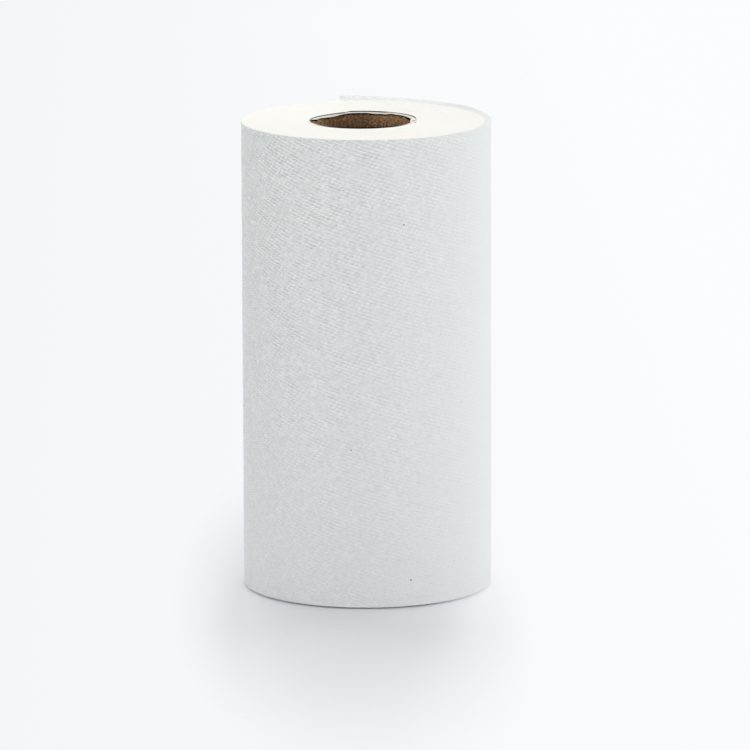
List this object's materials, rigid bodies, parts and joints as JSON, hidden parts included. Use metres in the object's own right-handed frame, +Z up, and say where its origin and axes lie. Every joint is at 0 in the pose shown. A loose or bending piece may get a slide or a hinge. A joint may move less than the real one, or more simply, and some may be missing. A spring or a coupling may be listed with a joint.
{
  "type": "paper towel roll",
  "caption": "Standing kitchen roll of white embossed paper towel wound on a hollow board core, with its last sheet peeled loose round the back.",
  "frame": {"origin": "on the axis of the core's bore, at the end face that the roll stands on", "axes": "+Z up along the bore, -Y towards the front, +Y towards the back where the loose end of the paper lies"},
  "size_m": [0.106, 0.1204, 0.2],
  "materials": {
    "tissue_paper": "matte, soft, with a fine embossed pattern",
    "core_board": "matte brown board"
  },
  "bodies": {
    "root": {"towel_roll": "tissue_paper", "core_tube": "core_board"}
  },
  "joints": []
}
